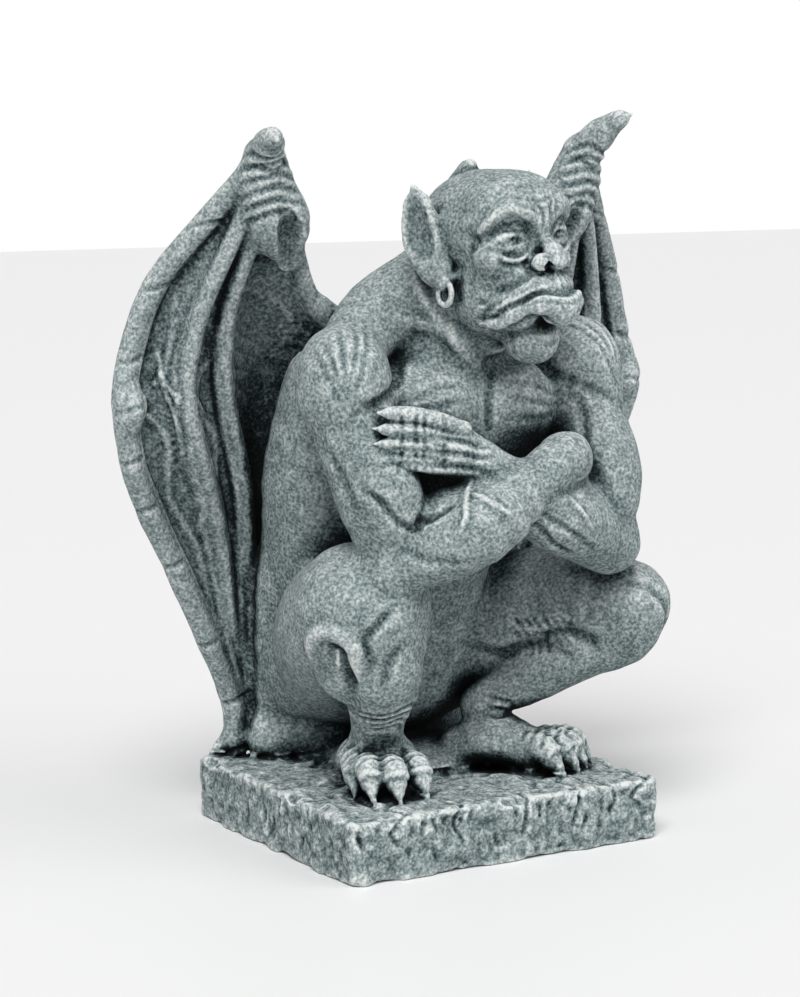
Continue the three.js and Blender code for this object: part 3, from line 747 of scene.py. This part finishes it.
def carve_claws(clay):
    for side in ("left", "right"):
        _, across, fans = toes(LEG[side])
        for tip, fan in fans:  # creases over each toe, and the ring where its claw begins
            for far, high, depth in ((25, 58, 1.6), (19, 58, 1.8), (13, 55, 2.2), (9, 50, -1.6)):
                centre = (tip - fan * far) * FLAT
                line = [centre + across * a + v(0, 0, high - 0.09 * a * a) for a in (-6, -3, 0, 3, 6)]
                clay.stroke(line, 1.3, depth)
    for k in range(4):  # creases over each finger
        down = k - 1.5
        for x, depth in ((-40, 1.1), (-52, 1.5), (-57, 1.5), (-66, 1.2)):
            high = 234 - 8 * down
            clay.stroke([(x, -84, high + 4), (x - 1, -87, high), (x, -84, high - 4)], 1.1, depth)
    for k in range(3):
        high = 231 - 7.6 * (k - 0.5)
        clay.stroke([(-14, -90, high - 3), (-32, -92, high), (-54, -86, high + 3), (-74, -78, high + 4)],
                    1.8, 2.2)


def carve_wing(clay, s):
    def out(points):
        return [(s * x, y, z) for x, y, z in points]

    for a, b in zip(LINES, LINES[1:]):  # wavering veins down the skin
        for share in (0.25, 0.5, 0.75):
            line = [mix(p, q, share + 0.07 * math.sin(3.1 * k + 9 * share)) for k, (p, q) in
                    enumerate(zip(WING[a][2:-1], WING[b][2:-1]))]
            clay.stroke(out(line), 2.2, -1.7)
    clay.stroke(out([(129, 35, 228), (120, 44, 208), (114, 50, 192), (112, 61, 173)]), 2.4, -1.8)
    branch = [(148, 40, 276), (146, 40, 268), (144, 39, 261), (136, 31, 251), (124, 39, 247), (116, 41, 240)]
    clay.stroke(out(branch), 1.6, -2.6)
    clay.stroke(out([(144, 39, 261), (140, 36, 246), (138, 36, 232)]), 1.4, -2)
    for k in range(11):  # notched rim
        x, y, z = WING["outer"][k]
        clay.stroke(out([(x - 8, y - 6, z + 2), (x, y - 6, z), (x + 7, y, z - 2)]), 1.6, 1.6)
    for k in range(6):  # wrinkled collar of the claw
        z = 388 - 7 * k
        ring = [(88 - k, -4, z - 4), (98, -14 - 0.4 * k, z), (108, -10, z - 2), (114, 2, z - 6)]
        clay.stroke(out(ring), 1.7, 2)


def carve_base(clay):
    (w, d), top = BASE["half"], BASE["top"]
    rng = np.random.default_rng(4)
    for size, height, seed in ((4.2, 0.9, 11), (13, 1.6, 12)):
        clay.roughen((-w - 4, -d - 4, -4), (w + 4, d + 4, top + 3), size, height, seed)
    for _ in range(46):  # chips along the top edges
        a = rng.uniform(-1, 1)
        x, y = ((a * w, -d), (-w, a * d), (w, a * d), (a * w, d))[rng.integers(4)]
        clay.cut(ball((x, y, top + 1.5), rng.uniform(2.5, 6.5, 3), rng.uniform(-40, 40, 3)), 1.2)
    for _ in range(40):  # tool marks on the sides
        a, z = rng.uniform(-0.95, 0.95), rng.uniform(5, top - 6)
        x, y = ((a * w, -d), (-w, a * d), (w, a * d))[rng.integers(3)]
        lean = rng.uniform(-4, 4)
        along_x = abs(y) == d
        end = (x + lean * along_x, y + lean * (not along_x), z + rng.uniform(5, 11))
        clay.stroke([(x, y, z), end], 1.5, 1.8)
    for x in (-72, -30, 8, 40, 66, 88):  # cracks running in from the front edge
        run = rng.uniform(-7, 7, 4)
        crack = [(x, -d, 16 + run[0]), (x + run[1], -d, 27), (x + run[2], -d + 4, top),
                 (x + run[3], -d + 16, top)]
        clay.stroke(crack, 1.1, 2.2)
    for _ in range(60):  # the broken ground under the feet
        x, y = rng.uniform(-w + 8, w - 8), rng.uniform(-d + 6, d - 20)
        turn = rng.uniform(0, math.tau)
        step = v(math.cos(turn), math.sin(turn), 0) * 9
        clay.stroke([v(x, y, top) - step, v(x, y, top), v(x, y, top) + step * (0.6, 1, 1)], 1.8, 1.5)


# ---- The whole figure ----------------------------------------------------------------------------
def sculpt():
    clay = Clay(*ROOM, PITCH * 2)
    torso(clay)
    for side in ("left", "right"):
        arm(clay, **ARM[side])
        leg(clay, LEG[side])
    right_hand(clay)
    for s in (1, -1):
        wing(clay, s)
    base(clay)
    clay.finer()
    left_hand(clay)
    for side in ("left", "right"):
        foot(clay, LEG[side])
    carve_body(clay)
    carve_legs(clay)
    carve_claws(clay)
    for s in (1, -1):
        carve_wing(clay, s)
    carve_base(clay)
    clay.cut(slab((-200, -200, -30), (200, 200, 0), 0), 0.5)  # a flat underside
    set_head(clay, head())
    clay.roughen((-180, -100, 36), (180, 98, 290), 9, 0.5, 21)  # the uneven skin of a cast
    return clay


clay = sculpt()


# ---- From clay to a mesh of stone ----------------------------------------------------------------
def mesh_object(name, points, triangles, quads):
    mesh = bpy.data.meshes.new(name)
    mesh.vertices.add(len(points))
    mesh.vertices.foreach_set("co", points.astype(np.float32).ravel())
    loops = np.concatenate([np.asarray(triangles).ravel(), np.asarray(quads).ravel()]).astype(np.int32)
    starts = np.concatenate([np.arange(len(triangles)) * 3, len(triangles) * 3 + np.arange(len(quads)) * 4])
    mesh.loops.add(len(loops))
    mesh.loops.foreach_set("vertex_index", loops)
    mesh.polygons.add(len(starts))
    mesh.polygons.foreach_set("loop_start", starts.astype(np.int32))
    mesh.update(calc_edges=True)
    mesh.validate()
    obj = bpy.data.objects.new(name, mesh)
    bpy.context.scene.collection.objects.link(obj)
    return obj


# Where the carving is fine, as balls (centre, radius): the mesh keeps more faces there.
FINE = [((8, -62, 330), 62), ((-48, -80, 230), 34), ((-57, -62, 42), 34), ((68, -52, 42), 30)]


def thin_out(obj, count):
    """Fewer faces, most of all where the surface is plain."""
    mesh = obj.data
    place = np.zeros(len(mesh.vertices) * 3, np.float32)
    mesh.vertices.foreach_get("co", place)
    place = place.reshape(-1, 3)
    fine = np.zeros(len(place))
    for centre, radius in FINE:
        far = np.linalg.norm(place - centre, axis=1) / radius
        fine = np.maximum(fine, np.clip(4 * (1 - far), 0, 1))
    group = obj.vertex_groups.new(name="plain")
    steps = np.round(fine * 4).astype(int)
    for k in range(5):
        group.add(np.nonzero(steps == k)[0].tolist(), 1 - 0.12 * k, "REPLACE")
    thin = obj.modifiers.new("thin", "DECIMATE")
    thin.ratio = count / sum(len(p.vertices) - 2 for p in mesh.polygons)
    thin.vertex_group, thin.vertex_group_factor = group.name, 0.004
    bpy.context.view_layer.objects.active = obj
    bpy.ops.object.modifier_apply(modifier=thin.name)
    obj.vertex_groups.clear()


def openness(points, normals):
    """How much of the sky over each point is clear of stone: 1 in the open, 0 deep in a hollow."""
    coarse = clay.field[::2, ::2, ::2] < 0
    size, pitch = np.array(coarse.shape), clay.pitch * 2
    count = 48  # ways, spread evenly over a ball
    k = np.arange(count) + 0.5
    lift = 1 - 2 * k / count
    spin = math.pi * (1 + math.sqrt(5)) * k
    ways = np.stack([np.sqrt(1 - lift**2) * np.cos(spin), np.sqrt(1 - lift**2) * np.sin(spin), lift], 1)
    steps = np.array([1.5, 3.5, 6, 9.5, 14, 20, 28, 38])  # how far along each way stone is looked for
    total, clear = np.zeros(len(points)), np.zeros(len(points))
    start = points + normals * 2.0
    for way in ways:
        lean = normals @ way
        seen = np.nonzero(lean > 0.08)[0]
        reached = np.ones(len(seen))
        for step in steps[::-1]:
            i = np.round((start[seen] + way * step - clay.low) / pitch).astype(int)
            i = np.clip(i, 0, size - 1)
            hit = coarse[i[:, 0], i[:, 1], i[:, 2]]
            reached[hit] = step / FAR
        weight = lean[seen]
        total[seen] += weight
        clear[seen] += weight * reached
    return clear / np.maximum(total, 1e-6)


def proudness(points, normals, reach):
    """Over 0 on a ridge and under 0 in a groove of about the given reach, in millimetres."""
    side = np.cross(normals, np.where(np.abs(normals[:, 2:]) < 0.8, [[0, 0, 1]], [[1, 0, 0]]))
    side /= np.linalg.norm(side, axis=1, keepdims=True)
    other = np.cross(normals, side)
    total = 0
    for k in range(6):
        a = math.pi * k / 3
        total = total + clay.read(points + reach * (side * math.cos(a) + other * math.sin(a)))
    return total / 6 - clay.read(points)


def measure(obj):
    """Keeps, at each corner of the mesh, what the finish needs to know about the form."""
    mesh = obj.data
    count = len(mesh.vertices)
    points, normals = np.zeros(count * 3, np.float32), np.zeros(count * 3, np.float32)
    mesh.vertices.foreach_get("co", points)
    mesh.vertices.foreach_get("normal", normals)
    points, normals = points.reshape(-1, 3), normals.reshape(-1, 3)
    for name, values in (
        ("open", openness(points, normals)),
        ("proud", proudness(points, normals, 2.0)),
        ("swell", proudness(points, normals, 6.0)),
    ):
        layer = mesh.attributes.new(name, "FLOAT", "POINT")
        layer.data.foreach_set("value", values.astype(np.float32))


statue = mesh_object("gargoyle_cast", *clay.mesh())
thin_out(statue, TRIANGLES)
measure(statue)
statue.data.transform(Matrix.Scale(MM, 4))
statue.data.shade_smooth()

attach(statue, "root" if "root" in frame["bodies"] else next(iter(frame["bodies"])))
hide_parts("gargoyle")


# ---- Finish --------------------------------------------------------------------------------------
def srgb(r, g, b):
    """A colour as the eye reads it, 0 to 255, as the linear light that a shader works in."""
    linear = [(c / 255 / 12.92) if c <= 10 else ((c / 255 + 0.055) / 1.055) ** 2.4 for c in (r, g, b)]
    return (*linear, 1)


class Nodes:
    """A short way to place and join shader nodes."""

    def __init__(self, tree):
        self.tree = tree

    def node(self, kind, **settings):
        node = self.tree.nodes.new("ShaderNode" + kind)
        for name, value in settings.items():
            setattr(node, name, value)
        return node

    def put(self, socket, value):
        if isinstance(value, bpy.types.NodeSocket):
            self.tree.links.new(value, socket)
        else:
            socket.default_value = value

    def math(self, what, a, b=0.5, c=None):
        node = self.node("Math", operation=what)
        for socket, value in zip(node.inputs, (a, b, c)):
            if value is not None:
                self.put(socket, value)
        return node.outputs[0]

    def remap(self, value, low, high, to_low=0.0, to_high=1.0, smooth=True):
        node = self.node("MapRange", interpolation_type="SMOOTHSTEP" if smooth else "LINEAR")
        for socket, given in zip(node.inputs, (value, low, high, to_low, to_high)):
            self.put(socket, given)
        return node.outputs[0]

    def noise(self, place, scale, detail=2.0, rough=0.5, warp=0.0):
        node = self.node("TexNoise")
        self.put(node.inputs["Vector"], place)
        for name, value in zip(("Scale", "Detail", "Roughness", "Distortion"), (scale, detail, rough, warp)):
            node.inputs[name].default_value = value
        return node.outputs[0]

    def form(self, name):
        node = self.node("Attribute", attribute_type="GEOMETRY", attribute_name=name)
        return node.outputs["Fac"]

    def ramp(self, value, stops):
        node = self.node("ValToRGB")
        self.put(node.inputs[0], value)
        bar = node.color_ramp.elements
        while len(bar) < len(stops):
            bar.new(0.5)
        for mark, (place, colour) in zip(bar, stops):
            mark.position, mark.color = place, colour
        return node.outputs[0]


def cast_stone():
    """Grey cast stone: pitted, with a dark wash settled in its hollows and pale dry-brushed ridges, and
    painted shade in hollows, in grooves and on faces turned down, with a painted highlight on ridges.
    """
    stone = bpy.data.materials.new("cast_stone")
    stone.use_nodes = True
    n = Nodes(stone.node_tree)
    shader = stone.node_tree.nodes["Principled BSDF"]
    place = n.node("TexCoord").outputs["Object"]
    up = n.node("SeparateXYZ")
    n.put(up.inputs[0], n.node("NewGeometry").outputs["Normal"])

    grain = n.noise(place, 560, 3, 0.6)
    blotch = n.noise(place, 150, 3, 0.6)
    broad = n.noise(place, 22, 2)
    # Dark wash in the hollows, the stone's own patina, together with painted shade: the colour darkens where
    # stone hides the sky.
    clear = n.remap(n.form("open"), 0.2, 0.82, smooth=False)
    # Paler on ridges and darker in grooves: dry-brushing and the wash, together with a painted highlight on
    # the ridges and painted shade in the grooves.
    ridge = n.math("MULTIPLY", n.form("proud"), 0.45)
    swell = n.math("MULTIPLY", n.form("swell"), 0.035)
    # Painted shade: faces turned down are painted darker than faces turned up, standing in for shade under
    # the figure.
    lift = n.math("MULTIPLY_ADD", up.outputs["Z"], 0.09, -0.24)
    tone = n.math("MULTIPLY_ADD", clear, 0.85, lift)
    tone = n.math("ADD", tone, n.math("ADD", ridge, swell))
    speck = n.remap(grain, 0.36, 0.64, -1.0, 1.0, smooth=False)
    tone = n.math("ADD", tone, n.math("MULTIPLY", speck, 0.17))
    tone = n.math("MULTIPLY_ADD", n.math("SUBTRACT", blotch, 0.5), 0.35, tone)
    tone = n.math("MULTIPLY_ADD", n.math("SUBTRACT", broad, 0.5), 0.2, tone)
    # The ramp's dark end holds the wash and painted shade, its pale end dry-brushing and painted highlight.
    n.put(shader.inputs["Base Color"], n.ramp(tone, [
        (0.0, srgb(6, 11, 12)), (0.25, srgb(30, 41, 43)), (0.5, srgb(92, 106, 108)),
        (0.75, srgb(150, 161, 161)), (1.0, srgb(212, 217, 215))]))
    shader.inputs["Roughness"].default_value = 0.9
    shader.inputs["Specular IOR Level"].default_value = 0.25
    bump = n.node("Bump")
    height = n.math("MULTIPLY_ADD", grain, 0.7, n.math("MULTIPLY", blotch, 0.6))
    n.put(bump.inputs["Height"], height)
    bump.inputs["Strength"].default_value = 0.8
    bump.inputs["Distance"].default_value = 0.0012
    n.put(shader.inputs["Normal"], bump.outputs[0])
    return stone


statue.data.materials.append(cast_stone())


# ---- Stage, light and camera ---------------------------------------------------------------------
def stage_floor():
    size = 6.0
    mesh = bpy.data.meshes.new("floor")
    corners = [(-size, -size, 0), (size, -size, 0), (size, size, 0), (-size, size, 0)]
    mesh.from_pydata(corners, [], [(0, 1, 2, 3)])
    floor = bpy.data.objects.new("floor", mesh)
    floor.location.z = LOW.z - 0.0002
    bpy.context.scene.collection.objects.link(floor)
    paint = bpy.data.materials.new("floor")
    paint.use_nodes = True
    paint.node_tree.nodes["Principled BSDF"].inputs["Base Color"].default_value = (0.9, 0.9, 0.9, 1)
    floor.data.materials.append(paint)


def camera():
    view = bpy.data.cameras.new("camera")
    view.lens, view.sensor_width = 98.79, 36
    view.clip_start, view.clip_end = 0.05, 50
    obj = bpy.data.objects.new("camera", view)
    azimuth, drop, pan = (math.radians(a) for a in (-31.45, 8.14, 0.55))
    far, high = 1530 * MM, 409 * MM
    obj.location = (math.sin(azimuth) * far, -math.cos(azimuth) * far, high)
    yaw = azimuth + pan
    ahead = Vector((-math.sin(yaw) * math.cos(drop), math.cos(yaw) * math.cos(drop), -math.sin(drop)))
    obj.rotation_mode = "QUATERNION"
    obj.rotation_quaternion = ahead.to_track_quat("-Z", "Y")
    bpy.context.scene.collection.objects.link(obj)
    bpy.context.scene.camera = obj


def studio():
    """A white room that lights softly and looks brighter to the camera."""
    world = bpy.data.worlds.new("studio")
    world.use_nodes = True
    n = Nodes(world.node_tree)
    soft, white = world.node_tree.nodes["Background"], n.node("Background")
    soft.inputs["Color"].default_value, soft.inputs["Strength"].default_value = (1, 1, 1, 1), 0.36
    white.inputs["Color"].default_value, white.inputs["Strength"].default_value = (1, 1, 1, 1), 1.0
    pick = n.node("MixShader")
    n.put(pick.inputs[0], n.node("LightPath").outputs["Is Camera Ray"])
    n.put(pick.inputs[1], soft.outputs[0])
    n.put(pick.inputs[2], white.outputs[0])
    n.put(world.node_tree.nodes["World Output"].inputs[0], pick.outputs[0])
    bpy.context.scene.world = world
    bpy.context.scene.view_settings.view_transform = "Standard"


def sun(name, azimuth, height, spread, power):
    """A soft distant light. Its azimuth in degrees is 0 in front and over 0 on the left hand's side."""
    light = bpy.data.lights.new(name, "SUN")
    light.angle, light.energy = math.radians(spread), power
    obj = bpy.data.objects.new(name, light)
    a, h = math.radians(azimuth), math.radians(height)
    toward = Vector((math.sin(a) * math.cos(h), -math.cos(a) * math.cos(h), math.sin(h)))
    obj.rotation_mode = "QUATERNION"
    obj.rotation_quaternion = (-toward).to_track_quat("-Z", "Y")
    bpy.context.scene.collection.objects.link(obj)


stage_floor()
camera()
studio()
sun("key", -40, 50, 30, 2.4)
sun("fill", 40, 35, 50, 0.8)
